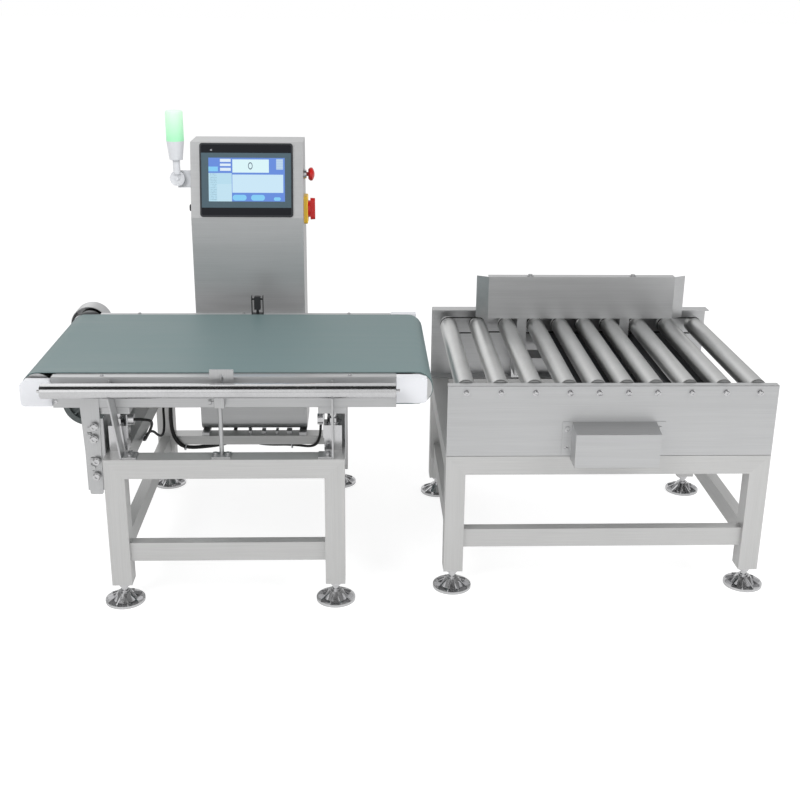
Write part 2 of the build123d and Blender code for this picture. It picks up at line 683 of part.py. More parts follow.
# Touch panel: a bezel on the sloping face and its glass
head_slope = math.atan2(head_back, column_top - column_crease)
panel_z = 956.0
panel_y = front_line + (panel_z - column_crease) * math.tan(head_slope)
head_plane = Plane(origin=(scale_x + 3, panel_y, panel_z), x_dir=(1, 0, 0),
                   z_dir=(0, -math.cos(head_slope), math.sin(head_slope)))
panel_width = 271.0
panel_height = 213.0
bezel_depth = 8.0
with BuildPart() as panel_bezel:
    with BuildSketch(head_plane):
        RectangleRounded(panel_width, panel_height, 8)
    extrude(amount=bezel_depth)
    front_rim = panel_bezel.faces().sort_by(Axis((0, 0, 0), head_plane.z_dir))[-1].edges()
    fillet(front_rim, 1.5)
    with BuildSketch(head_plane.offset(bezel_depth)):
        RectangleRounded(panel_width - 10, panel_height - 10, 5)
    extrude(amount=-2.5, mode=Mode.SUBTRACT)
panel_bezel.part.label = "panel_bezel"
export_step(panel_bezel.part, "parts/panel_bezel.step")

with BuildPart() as panel_glass:
    with BuildSketch(head_plane.offset(bezel_depth - 2.5)):
        RectangleRounded(panel_width - 10, panel_height - 10, 5)
    extrude(amount=2)
panel_glass.part.label = "panel_glass"
export_step(panel_glass.part, "parts/panel_glass.step")

# Stop button: a collar through the side sheet and the mushroom that slides in it
sideways = (0, 90, 0)
with BuildPart() as stop_collar:
    with Locations(Location(on_scale(column_right, stop_y, stop_z), sideways)):
        Cylinder(16, 3, align=(Align.CENTER, Align.CENTER, Align.MIN))
        Cylinder(13, 8, align=(Align.CENTER, Align.CENTER, Align.MIN))
    with Locations(Location(on_scale(column_right - 24, stop_y, stop_z), sideways)):
        Cylinder(10.8, 24, align=(Align.CENTER, Align.CENTER, Align.MIN))
        Cylinder(6 + running_gap, 40, align=(Align.CENTER, Align.CENTER, Align.MIN), mode=Mode.SUBTRACT)
    with Locations(Location(on_scale(column_right - wall - 6, stop_y, stop_z), sideways)):
        Cylinder(15, 6, align=(Align.CENTER, Align.CENTER, Align.MIN))
        Cylinder(6 + running_gap, 6, align=(Align.CENTER, Align.CENTER, Align.MIN), mode=Mode.SUBTRACT)
stop_collar.part.label = "stop_collar"
export_step(stop_collar.part, "parts/stop_collar.step")

cap_radius = 19.5
cap_rise = 7.0
dome_radius = (cap_rise ** 2 + cap_radius ** 2) / (2 * cap_rise)
dome_turn = math.asin(cap_radius / dome_radius) / 2
with BuildPart() as stop_button:
    with BuildSketch(Plane.XZ.offset(-front_y - stop_y)):
        with BuildLine():
            x0 = scale_x + column_right
            tip = x0 + 32
            cap = Polyline((tip, stop_z), (x0 - 10, stop_z), (x0 - 10, stop_z + 6), (x0 + 13.5, stop_z + 6),
                           (x0 + 13.5, stop_z + 15), (x0 + 19, stop_z + cap_radius),
                           (tip - cap_rise, stop_z + cap_radius))
            ThreePointArc(cap @ 1, (tip - dome_radius * (1 - math.cos(dome_turn)),
                                    stop_z + dome_radius * math.sin(dome_turn)), (tip, stop_z))
        make_face()
    revolve(axis=Axis((scale_x, front_y + stop_y, stop_z), (1, 0, 0)))
stop_button.part.label = "stop_button"
export_step(stop_button.part, "parts/stop_button.step")

# Main switch: a plate on the side sheet and a turning handle
switch_depth = 11.0
with BuildPart() as switch_plate:
    with BuildSketch(Plane.YZ.offset(scale_x + column_right)):
        with Locations((front_y + switch_y, switch_z)):
            RectangleRounded(66, 82, 8)
            Circle(5, mode=Mode.SUBTRACT)
    extrude(amount=switch_depth)
    chamfer(switch_plate.faces().sort_by(Axis.X)[-1].outer_wire().edges(), 2)
switch_plate.part.label = "switch_plate"
export_step(switch_plate.part, "parts/switch_plate.step")

with BuildPart() as switch_handle:
    with Locations(Location(on_scale(column_right + switch_depth + 0.3, switch_y, switch_z), sideways)):
        Cylinder(25, 7, align=(Align.CENTER, Align.CENTER, Align.MIN))
    with Locations(Location(on_scale(column_right - 3, switch_y, switch_z), sideways)):
        Cylinder(4.9, switch_depth + 6, align=(Align.CENTER, Align.CENTER, Align.MIN))
    with BuildSketch(Plane.YZ.offset(scale_x + column_right + switch_depth + 7)):
        with Locations((front_y + switch_y, switch_z)):
            SlotOverall(66, 20, rotation=90)
    extrude(amount=14, taper=4)
switch_handle.part.label = "switch_handle"
export_step(switch_handle.part, "parts/switch_handle.step")

# Stack light: an angle bracket with a clamp disc, and the tilting body and lens
light_dx = -202.0
light_y = 812.0
light_z = 957.0
with BuildPart() as light_bracket:
    block(on_scale(column_left - 3, 826, 926), (3, 36, 56))
    block(on_scale(light_dx, 823, 929), (column_left - light_dx, 3, 50))
    with Locations(Location(on_scale(light_dx, 823, light_z), (-90, 0, 0))):
        Cylinder(22, 8, align=(Align.CENTER, Align.CENTER, Align.MIN))
    for z in (936, 972):
        with Locations(Location(on_scale(column_left - 8, 823, z), (90, 0, 0))):
            Cylinder(3.5, 2.5, align=(Align.CENTER, Align.CENTER, Align.MIN))
light_bracket.part.label = "light_bracket"
export_step(light_bracket.part, "parts/light_bracket.step")

base_bottom = 1012.0
lens_bottom = 1066.0
lens_top = 1153.0
with BuildPart() as light_body:
    with Locations(Location(on_scale(light_dx, 822.7, light_z), (90, 0, 0))):
        Cylinder(22, 11, align=(Align.CENTER, Align.CENTER, Align.MIN))
        with Locations((0, 0, 11)):
            Cylinder(5, 3, align=(Align.CENTER, Align.CENTER, Align.MIN))
    with Locations(on_scale(light_dx, light_y, light_z + 14)):
        Cylinder(10.5, base_bottom - light_z - 14, align=(Align.CENTER, Align.CENTER, Align.MIN))
    with BuildSketch(Plane.XY.offset(base_bottom)):
        with Locations(on_scale(light_dx, light_y, 0)[:2]):
            Circle(19)
    with BuildSketch(Plane.XY.offset(lens_bottom)):
        with Locations(on_scale(light_dx, light_y, 0)[:2]):
            Circle(25.5)
    loft()
light_body.part.label = "light_body"
export_step(light_body.part, "parts/light_body.step")

with BuildPart() as light_lens:
    with Locations(on_scale(light_dx, light_y, lens_bottom)):
        Cylinder(25.5, lens_top - lens_bottom, align=(Align.CENTER, Align.CENTER, Align.MIN))
    fillet(light_lens.edges().sort_by(Axis.Z)[-1], 6)
light_lens.part.label = "light_lens"
export_step(light_lens.part, "parts/light_lens.step")

# Reject table panels: folded channels on the frame, pierced for the roller axles
roller_dxs = [46.5]
for step in (wide_pitch, wide_pitch, wide_pitch, narrow_pitch, narrow_pitch, narrow_pitch,
             wide_pitch, wide_pitch, wide_pitch):
    roller_dxs.append(roller_dxs[-1] + step)


def table_panel(outer, sign, top, top_flange, low_flange):
    with BuildSketch(Plane.YZ.offset(table_x)) as outline:
        with BuildLine():
            Polyline((outer, table_height), (outer + sign * low_flange, table_height),
                     (outer + sign * low_flange, table_height + sheet),
                     (outer + sign * sheet, table_height + sheet),
                     (outer + sign * sheet, top - sheet),
                     (outer + sign * top_flange, top - sheet), (outer + sign * top_flange, top),
                     (outer, top), close=True)
        make_face()
        folds = [v for v in outline.vertices() if abs(v.X - outer) < 0.1]
        fillet(folds, 2.5)
    extrude(outline.sketch, amount=table_width)
    for dx in roller_dxs:
        with Locations(Location((table_x + dx, outer, roller_z), (90, 0, 0))):
            Cylinder(axle_radius, 4 * sheet, mode=Mode.SUBTRACT)


with BuildPart() as front_panel:
    table_panel(table_y, 1, panel_top, 22, 40)
front_panel.part.label = "front_panel"
export_step(front_panel.part, "parts/front_panel.step")

with BuildPart() as rear_panel:
    table_panel(table_y + table_depth, -1, rear_panel_top, 40, 40)
rear_panel.part.label = "rear_panel"
export_step(rear_panel.part, "parts/rear_panel.step")

# Fixed axles with a button-head bolt at each end
with BuildPart() as roller_axles:
    for dx in roller_dxs:
        with Locations(Location((table_x + dx, table_y, roller_z), (-90, 0, 0))):
            Cylinder(axle_radius, table_depth, align=(Align.CENTER, Align.CENTER, Align.MIN))
        for y, lean in ((table_y, 90), (table_y + table_depth, -90)):
            with Locations(Location((table_x + dx, y, roller_z), (lean, 0, 0))):
                Cylinder(8, 1.5, align=(Align.CENTER, Align.CENTER, Align.MIN))
                Cone(6.5, 4, 4.5, align=(Align.CENTER, Align.CENTER, Align.MIN))
roller_axles.part.label = "roller_axles"
export_step(roller_axles.part, "parts/roller_axles.step")

# Table rollers: a rolled shell with a grooved drive head at the rear
head_length = 26.0
groove_depth = 2.0
for number, dx in enumerate(roller_dxs, start=1):
    with BuildPart() as table_roller:
        x = table_x + dx
        shell_rear = table_y + roller_rear - head_length
        with BuildSketch(Plane.XY.offset(roller_z)):
            with BuildLine():
                bore = axle_radius + running_gap
                head = roller_radius - 1
                Polyline((x + bore, table_y + roller_front), (x + roller_radius - 2, table_y + roller_front),
                         (x + roller_radius, table_y + roller_front + 2), (x + roller_radius, shell_rear - 2),
                         (x + roller_radius - 2, shell_rear), (x + head - groove_depth, shell_rear),
                         (x + head - groove_depth, shell_rear + 2), (x + head, shell_rear + 3),
                         (x + head - groove_depth, shell_rear + 4), (x + head - groove_depth, shell_rear + 12),
                         (x + head, shell_rear + 13), (x + head - groove_depth, shell_rear + 14),
                         (x + head - groove_depth, shell_rear + 22), (x + head, shell_rear + 23),
                         (x + head, shell_rear + head_length), (x + bore, shell_rear + head_length),
                         close=True)
            make_face()
        revolve(axis=Axis((x, 0, roller_z), (0, 1, 0)))
    node = f"table_roller_{number}"
    table_roller.part.label = node
    export_step(table_roller.part, f"parts/{node}.step")

# Round drive belts that link each roller's head to the next, in the front and rear grooves by turns
groove_radius = roller_radius - 1 - groove_depth
loop_thickness = 2.4
with BuildPart() as roller_loops:
    for index in range(len(roller_dxs) - 1):
        left = table_x + roller_dxs[index]
        right = table_x + roller_dxs[index + 1]
        start = table_y + roller_rear - head_length + (4.8 if index % 2 == 0 else 14.8)
        for radius, mode in ((groove_radius + 0.3 + loop_thickness, Mode.ADD),
                             (groove_radius + 0.3, Mode.SUBTRACT)):
            with BuildSketch(facing_front(start)):
                with Locations(((left + right) / 2, roller_z)):
                    SlotCenterToCenter(right - left, 2 * radius)
            if mode == Mode.ADD:
                outer_loop = extrude(amount=-6.4, mode=Mode.PRIVATE)
            else:
                inner_loop = extrude(amount=-6.4, mode=Mode.PRIVATE)
        add(outer_loop - inner_loop)
roller_loops.part.label = "roller_loops"
export_step(roller_loops.part, "parts/roller_loops.step")

# Drive box: a sheet cover with a sloping top and two screwed flanges on the front panel
box_left = 314.0
box_right = 526.0
box_bottom = 372.0
box_front = table_y - 62.0
with BuildPart() as drive_box:
    with BuildSketch(Plane.YZ.offset(table_x + box_left)):
        with BuildLine():
            Polyline((table_y, box_bottom), (box_front, box_bottom), (box_front, 461), (table_y, 472), close=True)
        make_face()
    extrude(amount=box_right - box_left)
    fillet(drive_box.edges().filter_by(Axis.X).sort_by(Axis.Y)[:2], 2)
    for x in (box_left - 24, box_right):
        block((table_x + x, table_y - 2, table_height + 3), (24, 2, 90))
        for z in (table_height + 20, table_height + 76):
            with Locations(Location((table_x + x + 12, table_y - 2, z), (90, 0, 0))):
                Cylinder(5, 3, align=(Align.CENTER, Align.CENTER, Align.MIN))
drive_box.part.label = "drive_box"
export_step(drive_box.part, "parts/drive_box.step")

# Guide rods between blocks that stand on the panels' lower flanges
rod_dxs = ((roller_dxs[2] + roller_dxs[3]) / 2, (roller_dxs[6] + roller_dxs[7]) / 2)
rod_radius = 10.0
rod_z = 440.0
support_depth = 34.0
support_front = 8.0
flange_top = table_height + sheet
with BuildPart() as guide_rods:
    for dx in rod_dxs:
        for y in (support_front, table_depth - support_front - support_depth):
            block(on_table(dx - 20, y, flange_top), (40, support_depth, 80))
        with Locations(Location(on_table(dx, support_front, rod_z), (-90, 0, 0))):
            Cylinder(rod_radius, table_depth - 2 * support_front,
                     align=(Align.CENTER, Align.CENTER, Align.MIN))
guide_rods.part.label = "guide_rods"
export_step(guide_rods.part, "parts/guide_rods.step")

# Rodless air cylinder between the rods, with square end caps
cylinder_dx = table_width / 2
with BuildPart() as air_cylinder:
    block(on_table(cylinder_dx - 19, support_front + 30, flange_top + 6), (38, table_depth - 2 * support_front - 60, 40))
    long_edges = air_cylinder.edges().filter_by(Axis.Y)
    fillet(long_edges, 4)
    for y in (support_front, table_depth - support_front - 30):
        block(on_table(cylinder_dx - 24, y, flange_top), (48, 30, 48))
air_cylinder.part.label = "air_cylinder"
export_step(air_cylinder.part, "parts/air_cylinder.step")

# Pusher: the carriage on the rods, two arms up between the rollers, and the folded pusher plate
carriage_front = 534.0
carriage_depth = 84.0
arm_front = 589.0
arm_top = 682.0
with BuildPart() as pusher_carriage:
    for dx in rod_dxs:
        block(on_table(dx - 23, carriage_front, rod_z - 23), (46, carriage_depth, 46))
    block(on_table(rod_dxs[0] - 23, carriage_front, rod_z + 23), (rod_dxs[1] - rod_dxs[0] + 46, carriage_depth, 8))
    block(on_table(cylinder_dx - 20, carriage_front + 2, flange_top + 46.4),
          (40, carriage_depth - 4, rod_z + 23 - flange_top - 46.4))
    for dx in rod_dxs:
        block(on_table(dx - 14, arm_front, rod_z + 31), (28, 12, arm_top - rod_z - 31))
        with BuildSketch(Plane.YZ.offset(table_x + dx - 4)):
            with BuildLine():
                Polyline((table_y + arm_front, rod_z + 31), (table_y + arm_front, rod_z + 75),
                         (table_y + carriage_front + 4, rod_z + 31), close=True)
            make_face()
        extrude(amount=8)
        with Locations(Location(on_table(dx, carriage_front - 5, rod_z), (-90, 0, 0))):
            Cylinder(rod_radius + running_gap, carriage_depth + 10,
                     align=(Align.CENTER, Align.CENTER, Align.MIN), mode=Mode.SUBTRACT)
pusher_carriage.part.label = "pusher_carriage"
export_step(pusher_carriage.part, "parts/pusher_carriage.step")

plate_left = 160.0
plate_right = 706.0
plate_low = 577.0
plate_high = 702.0
wing = 34.0
wing_back = 18.0
with BuildPart() as pusher_plate:
    # Seen from above: the flat face and its swept-back wings, then the same line one sheet behind
    with BuildSketch(Plane.XY.offset(plate_low)):
        with BuildLine():
            face_y = table_y + arm_front - sheet
            front_points = [(table_x + plate_left - wing, face_y + wing_back), (table_x + plate_left, face_y),
                            (table_x + plate_right, face_y), (table_x + plate_right + wing, face_y + wing_back)]
            back_points = [(x, y + sheet) for x, y in reversed(front_points)]
            Polyline(*front_points, *back_points, close=True)
        make_face()
    extrude(amount=plate_high - plate_low)
    block((table_x + plate_left, table_y + arm_front, plate_high - sheet), (plate_right - plate_left, 26, sheet))
    for x in (122.0, plate_right - plate_left - 122.0):
        with Locations((table_x + plate_left + x, table_y + arm_front + 12, plate_high)):
            Cylinder(6, 5, align=(Align.CENTER, Align.CENTER, Align.MIN))
            Cylinder(10, 1.5, align=(Align.CENTER, Align.CENTER, Align.MIN))
pusher_plate.part.label = "pusher_plate"
export_step(pusher_plate.part, "parts/pusher_plate.step")

# Dark folded covers under the rollers, on each side of the right arm's path
cover_spans = ((330.0, 540.0), (590.0, 752.0))
cover_low = 484.0
cover_high = 516.0
with BuildPart() as deck_covers:
    for left, right in cover_spans:
        with BuildSketch(facing_front(table_y + sheet)):
            with BuildLine():
                Polyline((table_x + left, cover_low), (table_x + left, cover_high), (table_x + right, cover_high),
                         (table_x + right, cover_low), (table_x + right - sheet, cover_low),
                         (table_x + right - sheet, cover_high - sheet),
                         (table_x + left + sheet, cover_high - sheet), (table_x + left + sheet, cover_low),
                         close=True)
            make_face()
        extrude(amount=-(table_depth - 2 * sheet))
        for y in (90.0, 240.0, 390.0, 540.0):
            for x in (left + 22, right - 22):
                with Locations(on_table(x, y, cover_high)):
                    Cylinder(6, 3, align=(Align.CENTER, Align.CENTER, Align.MIN))
deck_covers.part.label = "deck_covers"
export_step(deck_covers.part, "parts/deck_covers.step")


# A cable along straight runs and tangent arcs, each arc as wide as its shorter run allows
def cable(points, radius):
    bends = []
    for before, corner, after in zip(points, points[1:], points[2:]):
        coming = Vector(*corner) - Vector(*before)
        going = Vector(*after) - Vector(*corner)
        turn = math.radians(coming.get_angle(going))
        bends.append(0.45 * min(coming.length, going.length) / math.tan(turn / 2))
    with BuildPart() as piece:
        with BuildLine() as route:
            FilletPolyline(*points, radius=bends)
        way = route.wires()[0]
        with BuildSketch(Plane(origin=way @ 0, z_dir=way % 0)):
            Circle(radius)
        sweep(path=way)
    print("cable length", round(way.length), "bend radii", [round(bend) for bend in bends],
          "volume ratio", round(piece.part.volume / (math.pi * radius ** 2 * way.length), 4))
    return piece.part


# Motor cable: over the left rail, down the rear leg and under the low rail into the column
motor_run = [(-333.8, 480, 437), (-290, 480, 437), (-242, 522, 424), (-226, 600, 400), (-231, 672, 348),
             (-246, 722, 282), (-251, 736, 215), (-241, 738, 162), (-214, 752, 128), (-130, 772, 127),
             (-74, 806, 126), (-61, 842, 158), (-60, 845, 194)]
# Load cell cable from the right: down the rear leg, then left under the low rail into the column
right_run = [(226.8, 600, 474), (186, 600, 474), (180, 646, 436), (198, 686, 372), (211, 722, 300),
             (213, 738, 225), (209, 738, 164), (190, 748, 131), (120, 773, 131), (42, 772, 130),
             (-9, 806, 126), (-19, 842, 158), (-20, 845, 194)]
# Load cell cable from the front left: along the rail, in a hanging loop, then up to the conveyor
left_run = [(-226.8, 82, 474), (-192, 82, 474), (-190, 126, 448), (-212, 170, 400), (-238, 222, 358),
            (-240, 300, 353), (-237, 366, 336), (-229, 412, 300), (-224, 455, 289), (-228, 500, 308),
            (-238, 548, 352), (-226, 590, 400), (-204, 616, 450), (-204, 618, plate_bottom - 0.3)]
cables = Compound(label="cables", children=[
    *cable([on_scale(*point) for point in motor_run], 6.0).solids(),
    *cable([on_scale(*point) for point in right_run], 4.0).solids(),
    *cable([on_scale(*point) for point in left_run], 3.5).solids(),
])
export_step(cables, "parts/cables.step")
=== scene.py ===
import math

import bpy
from mathutils import Matrix, Vector


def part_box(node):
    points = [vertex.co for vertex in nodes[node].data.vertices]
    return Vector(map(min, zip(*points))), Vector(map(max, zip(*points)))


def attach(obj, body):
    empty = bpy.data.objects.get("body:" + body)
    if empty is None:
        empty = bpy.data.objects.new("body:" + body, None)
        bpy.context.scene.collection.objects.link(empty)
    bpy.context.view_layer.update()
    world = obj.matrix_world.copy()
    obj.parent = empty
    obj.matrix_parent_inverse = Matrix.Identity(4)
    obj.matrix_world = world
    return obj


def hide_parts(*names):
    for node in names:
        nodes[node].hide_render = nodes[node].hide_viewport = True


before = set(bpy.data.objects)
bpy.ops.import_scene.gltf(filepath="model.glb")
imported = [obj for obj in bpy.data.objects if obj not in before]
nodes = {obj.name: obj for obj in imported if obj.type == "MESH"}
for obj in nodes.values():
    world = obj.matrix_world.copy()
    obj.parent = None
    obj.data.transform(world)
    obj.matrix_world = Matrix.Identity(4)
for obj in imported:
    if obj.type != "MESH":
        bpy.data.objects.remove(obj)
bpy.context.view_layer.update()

scene = bpy.context.scene
print("frame loaded:", len(nodes), "nodes")


# ---- camera, fitted to the photograph
camera = {
    "place": (-0.11879, -3.09445, 1.48447),
    "pitch": 19.516,
    "yaw": 2.174,
    "roll": 0.615,
    "lens": 51.99,
}


def addCamera():
    data = bpy.data.cameras.new("camera")
    data.lens = camera["lens"]
    data.sensor_width = 36.0
    data.clip_end = 60.0
    holder = bpy.data.objects.new("camera", data)
    scene.collection.objects.link(holder)
    pitch, yaw, roll = (math.radians(camera[key]) for key in ("pitch", "yaw", "roll"))
    ahead = Vector((math.sin(yaw) * math.cos(pitch), math.cos(yaw) * math.cos(pitch), -math.sin(pitch)))
    right = Vector((math.cos(yaw), -math.sin(yaw), 0.0))
    up = right.cross(ahead)
    rightRolled = right * math.cos(roll) + up * math.sin(roll)
    upRolled = up * math.cos(roll) - right * math.sin(roll)
    turn = Matrix((rightRolled, upRolled, -ahead)).transposed()
    holder.matrix_world = Matrix.Translation(camera["place"]) @ turn.to_4x4()
    scene.camera = holder


addCamera()


# ---- cords: the routes of the solid model, from the weigher's own corner, in metres
weigherCorner = (-0.4485, -0.4675, 0.0)
cords = {
    "motorCable": {"length": 0.755, "diameter": 0.012, "stiffness": "medium", "points": (
        (-0.3338, 0.480, 0.437), (-0.290, 0.480, 0.437), (-0.242, 0.522, 0.424), (-0.226, 0.600, 0.400),
        (-0.231, 0.672, 0.348), (-0.246, 0.722, 0.282), (-0.251, 0.736, 0.215), (-0.241, 0.738, 0.162),
        (-0.214, 0.752, 0.128), (-0.130, 0.772, 0.127), (-0.074, 0.806, 0.126), (-0.061, 0.842, 0.158),
        (-0.060, 0.845, 0.194))},
    "rightCellCable": {"length": 0.716, "diameter": 0.008, "stiffness": "limp", "points": (
        (0.2268, 0.600, 0.474), (0.186, 0.600, 0.474), (0.180, 0.646, 0.436), (0.198, 0.686, 0.372),
        (0.211, 0.722, 0.300), (0.213, 0.738, 0.225), (0.209, 0.738, 0.164), (0.190, 0.748, 0.131),
        (0.120, 0.773, 0.131), (0.042, 0.772, 0.130), (-0.009, 0.806, 0.126), (-0.019, 0.842, 0.158),
        (-0.020, 0.845, 0.194))},
    "leftCellCable": {"length": 0.768, "diameter": 0.007, "stiffness": "limp", "points": (
        (-0.2268, 0.082, 0.474), (-0.192, 0.082, 0.474), (-0.190, 0.126, 0.448), (-0.212, 0.170, 0.400),
        (-0.238, 0.222, 0.358), (-0.240, 0.300, 0.353), (-0.237, 0.366, 0.336), (-0.229, 0.412, 0.300),
        (-0.224, 0.455, 0.289), (-0.228, 0.500, 0.308), (-0.238, 0.548, 0.352), (-0.226, 0.590, 0.400),
        (-0.204, 0.616, 0.450), (-0.204, 0.618, 0.5177))},
}


def layCord(name, length, diameter, stiffness, points):
    curve = bpy.data.curves.new(name, "CURVE")
    curve.dimensions = "3D"
    curve.bevel_depth = 1.0  # each point's own radius is the cable's
    curve.bevel_resolution = 5
    curve.use_fill_caps = True
    line = curve.splines.new("NURBS")
    line.points.add(len(points) - 1)
    for spot, point in zip(line.points, points):
        spot.co = (*(step + start for step, start in zip(point, weigherCorner)), 1.0)
        spot.radius = diameter / 2
    line.order_u = 3
    line.use_endpoint_u = True
    line.resolution_u = 10
    piece = bpy.data.objects.new(name, curve)
    scene.collection.objects.link(piece)
    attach(piece, "stand")
    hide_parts("cables")
    start = [step + corner for step, corner in zip(points[0], weigherCorner)]
    return piece


cordPieces = [layCord(name, **facts) for name, facts in cords.items()]
print("cords laid")


# a socket of one finish, so that sums on it read as plain sums
class Wire:
    def __init__(self, finish, socket):
        self.finish = finish
        self.socket = socket

    def work(self, kind, other, clamp=False):
        node = self.finish.add("Math", {0: self, 1: other}, operation=kind, use_clamp=clamp)
        return Wire(self.finish, node.outputs[0])

    def __add__(self, other):
        return self.work("ADD", other)

    def __sub__(self, other):
        return self.work("SUBTRACT", other)

    def __mul__(self, other):
        return self.work("MULTIPLY", other)

    def __gt__(self, other):
        return self.work("GREATER_THAN", other)

    def __lt__(self, other):
        return self.work("LESS_THAN", other)


# one material with its tree and its main shader
class Finish:
    def __init__(self, name, colour, metallic=0.0, roughness=0.5, coat=0.0):
        self.material = bpy.data.materials.new(name)
        self.material.use_nodes = True
        self.tree = self.material.node_tree
        self.shader = self.tree.nodes["Principled BSDF"]
        self.shader.inputs["Base Color"].default_value = (*colour, 1.0)
        self.shader.inputs["Metallic"].default_value = metallic
        self.shader.inputs["Roughness"].default_value = roughness
        self.shader.inputs["Coat Weight"].default_value = coat
        self.place = Wire(self, self.tree.nodes.new("ShaderNodeTexCoord").outputs["Object"])

    # any other node, its inputs by name or number
    def add(self, kind, inputs=None, **settings):
        node = self.tree.nodes.new("ShaderNode" + kind)
        for key, value in settings.items():
            setattr(node, key, value)
        for key, value in (inputs or {}).items():
            self.feed(node.inputs[key], value)
        return node

    def feed(self, socket, value):
        if isinstance(value, Wire):
            self.tree.links.new(value.socket, socket)
        else:
            socket.default_value = value

    def stretch(self, x, y, z):
        node = self.add("Mapping", {"Vector": self.place, "Scale": (x, y, z)})
        return Wire(self, node.outputs[0])

    def noise(self, where, scale=1.0, detail=3.0):
        node = self.add("TexNoise", {"Vector": where, "Scale": scale, "Detail": detail})
        return Wire(self, node.outputs[0])

    def axis(self, letter):
        node = self.add("SeparateXYZ", {0: self.place})
        return Wire(self, node.outputs[letter])

    # a value from low to high as the driver goes from start to end
    def span(self, driver, start, end, low, high):
        node = self.add("MapRange", {"Value": driver, "From Min": start, "From Max": end, "To Min": low, "To Max": high})
        return Wire(self, node.outputs[0])

    def blend(self, amount, first, second):
        node = self.add("Mix", {0: amount}, data_type="RGBA")
        self.feed(node.inputs[6], first if isinstance(first, Wire) else (*first, 1.0))
        self.feed(node.inputs[7], second if isinstance(second, Wire) else (*second, 1.0))
        return Wire(self, node.outputs[2])

    def relief(self, height, strength, depth=0.0002):
        node = self.add("Bump", {"Height": height, "Strength": strength, "Distance": depth})
        self.tree.links.new(node.outputs[0], self.shader.inputs["Normal"])

    def colour(self, wire):
        self.feed(self.shader.inputs["Base Color"], wire)

    def rough(self, wire):
        self.feed(self.shader.inputs["Roughness"], wire)


def tint(colour, factor):
    return tuple(min(1.0, channel * factor) for channel in colour)


# ---- finishes
finishes = {
    "brushedSheet": {"colour": (0.60, 0.605, 0.61), "roughness": (0.30, 0.42), "metallic": 0.86},
    "frameTube": {"colour": (0.60, 0.60, 0.595), "roughness": (0.32, 0.46), "metallic": 0.62},
    "polished": {"colour": (0.70, 0.70, 0.71), "roughness": (0.14, 0.22)},
    "satinRoller": {"colour": (0.66, 0.665, 0.66), "roughness": (0.36, 0.42)},
    "endBlock": {"colour": (0.74, 0.75, 0.78), "roughness": (0.40, 0.52)},
    "belt": {"colour": (0.150, 0.215, 0.218), "roughness": (0.40, 0.55)},
}


# steel sheet rubbed along one axis: fine lines with a few long streaks
def brushedSteel(name, along, colour, roughness, metallic=1.0, strength=0.12):
    finish = Finish(name, colour, metallic=metallic)
    fine = {"X": (6, 900, 900), "Y": (900, 6, 900), "Z": (900, 900, 6)}[along]
    lines = finish.noise(finish.stretch(*fine), 1.0, 2.0)
    broad = {"X": (1.2, 60, 60), "Y": (60, 1.2, 60), "Z": (60, 60, 1.2)}[along]
    streaks = finish.noise(finish.stretch(*broad), 1.0, 3.0)
    cloud = finish.noise(finish.place, 5.0, 2.0)
    shade = lines * 0.5 + streaks * 0.35 + cloud * 0.15
    finish.colour(finish.blend(finish.span(shade, 0.3, 0.7, 0.0, 1.0), tint(colour, 0.90), tint(colour, 1.08)))
    finish.rough(finish.span(shade, 0.3, 0.7, roughness[0], roughness[1]))
    finish.relief(lines, strength, 0.0001)
    return finish.material


# frame rails are rubbed along their own length, and meet at mitres
def railSteel(name, left, right, front, rear, colour, roughness, metallic=1.0):
    finish = Finish(name, colour, metallic=metallic)
    x = finish.axis("X")
    y = finish.axis("Y")
    toLeft = x - left
    toRight = (x - right) * -1.0
    toFront = y - front
    toRear = (y - rear) * -1.0
    sideways = toLeft.work("MINIMUM", toRight)
    lengthways = toFront.work("MINIMUM", toRear)
    onSide = sideways < lengthways
    alongX = finish.noise(finish.stretch(6, 900, 900), 1.0, 2.0)
    alongY = finish.noise(finish.stretch(900, 6, 900), 1.0, 2.0)
    cloud = finish.noise(finish.place, 6.0, 3.0)
    lines = alongY * onSide + alongX * ((onSide * -1.0) + 1.0)
    shade = lines * 0.7 + cloud * 0.3
    finish.colour(finish.blend(finish.span(shade, 0.3, 0.7, 0.0, 1.0), tint(colour, 0.90), tint(colour, 1.08)))
    finish.rough(finish.span(shade, 0.3, 0.7, roughness[0], roughness[1]) + onSide * 0.03)
    finish.relief(lines, 0.12, 0.0001)
    return finish.material


# turned or drawn metal with a soft cloud of handling marks
def smoothMetal(name, colour, roughness, grain=160.0, strength=0.04):
    finish = Finish(name, colour, metallic=1.0)
    cloud = finish.noise(finish.place, 14.0, 4.0)
    specks = finish.noise(finish.place, grain, 3.0)
    shade = cloud * 0.6 + specks * 0.4
    finish.colour(finish.blend(finish.span(shade, 0.3, 0.7, 0.0, 1.0), tint(colour, 0.92), tint(colour, 1.06)))
    finish.rough(finish.span(shade, 0.3, 0.7, roughness[0], roughness[1]))
    finish.relief(specks, strength, 0.0002)
    return finish.material


# moulded or machined plastic with a fine even skin
def mouldedPlastic(name, colour, roughness, grain=700.0, strength=0.10, coat=0.0):
    finish = Finish(name, colour, coat=coat)
    skin = finish.noise(finish.place, grain, 2.0)
    cloud = finish.noise(finish.place, 9.0, 3.0)
    finish.colour(finish.blend(finish.span(cloud, 0.3, 0.7, 0.0, 1.0), tint(colour, 0.95), tint(colour, 1.04)))
    finish.rough(finish.span(cloud, 0.3, 0.7, roughness[0], roughness[1]))
    finish.relief(skin, strength, 0.0002)
    return finish.material


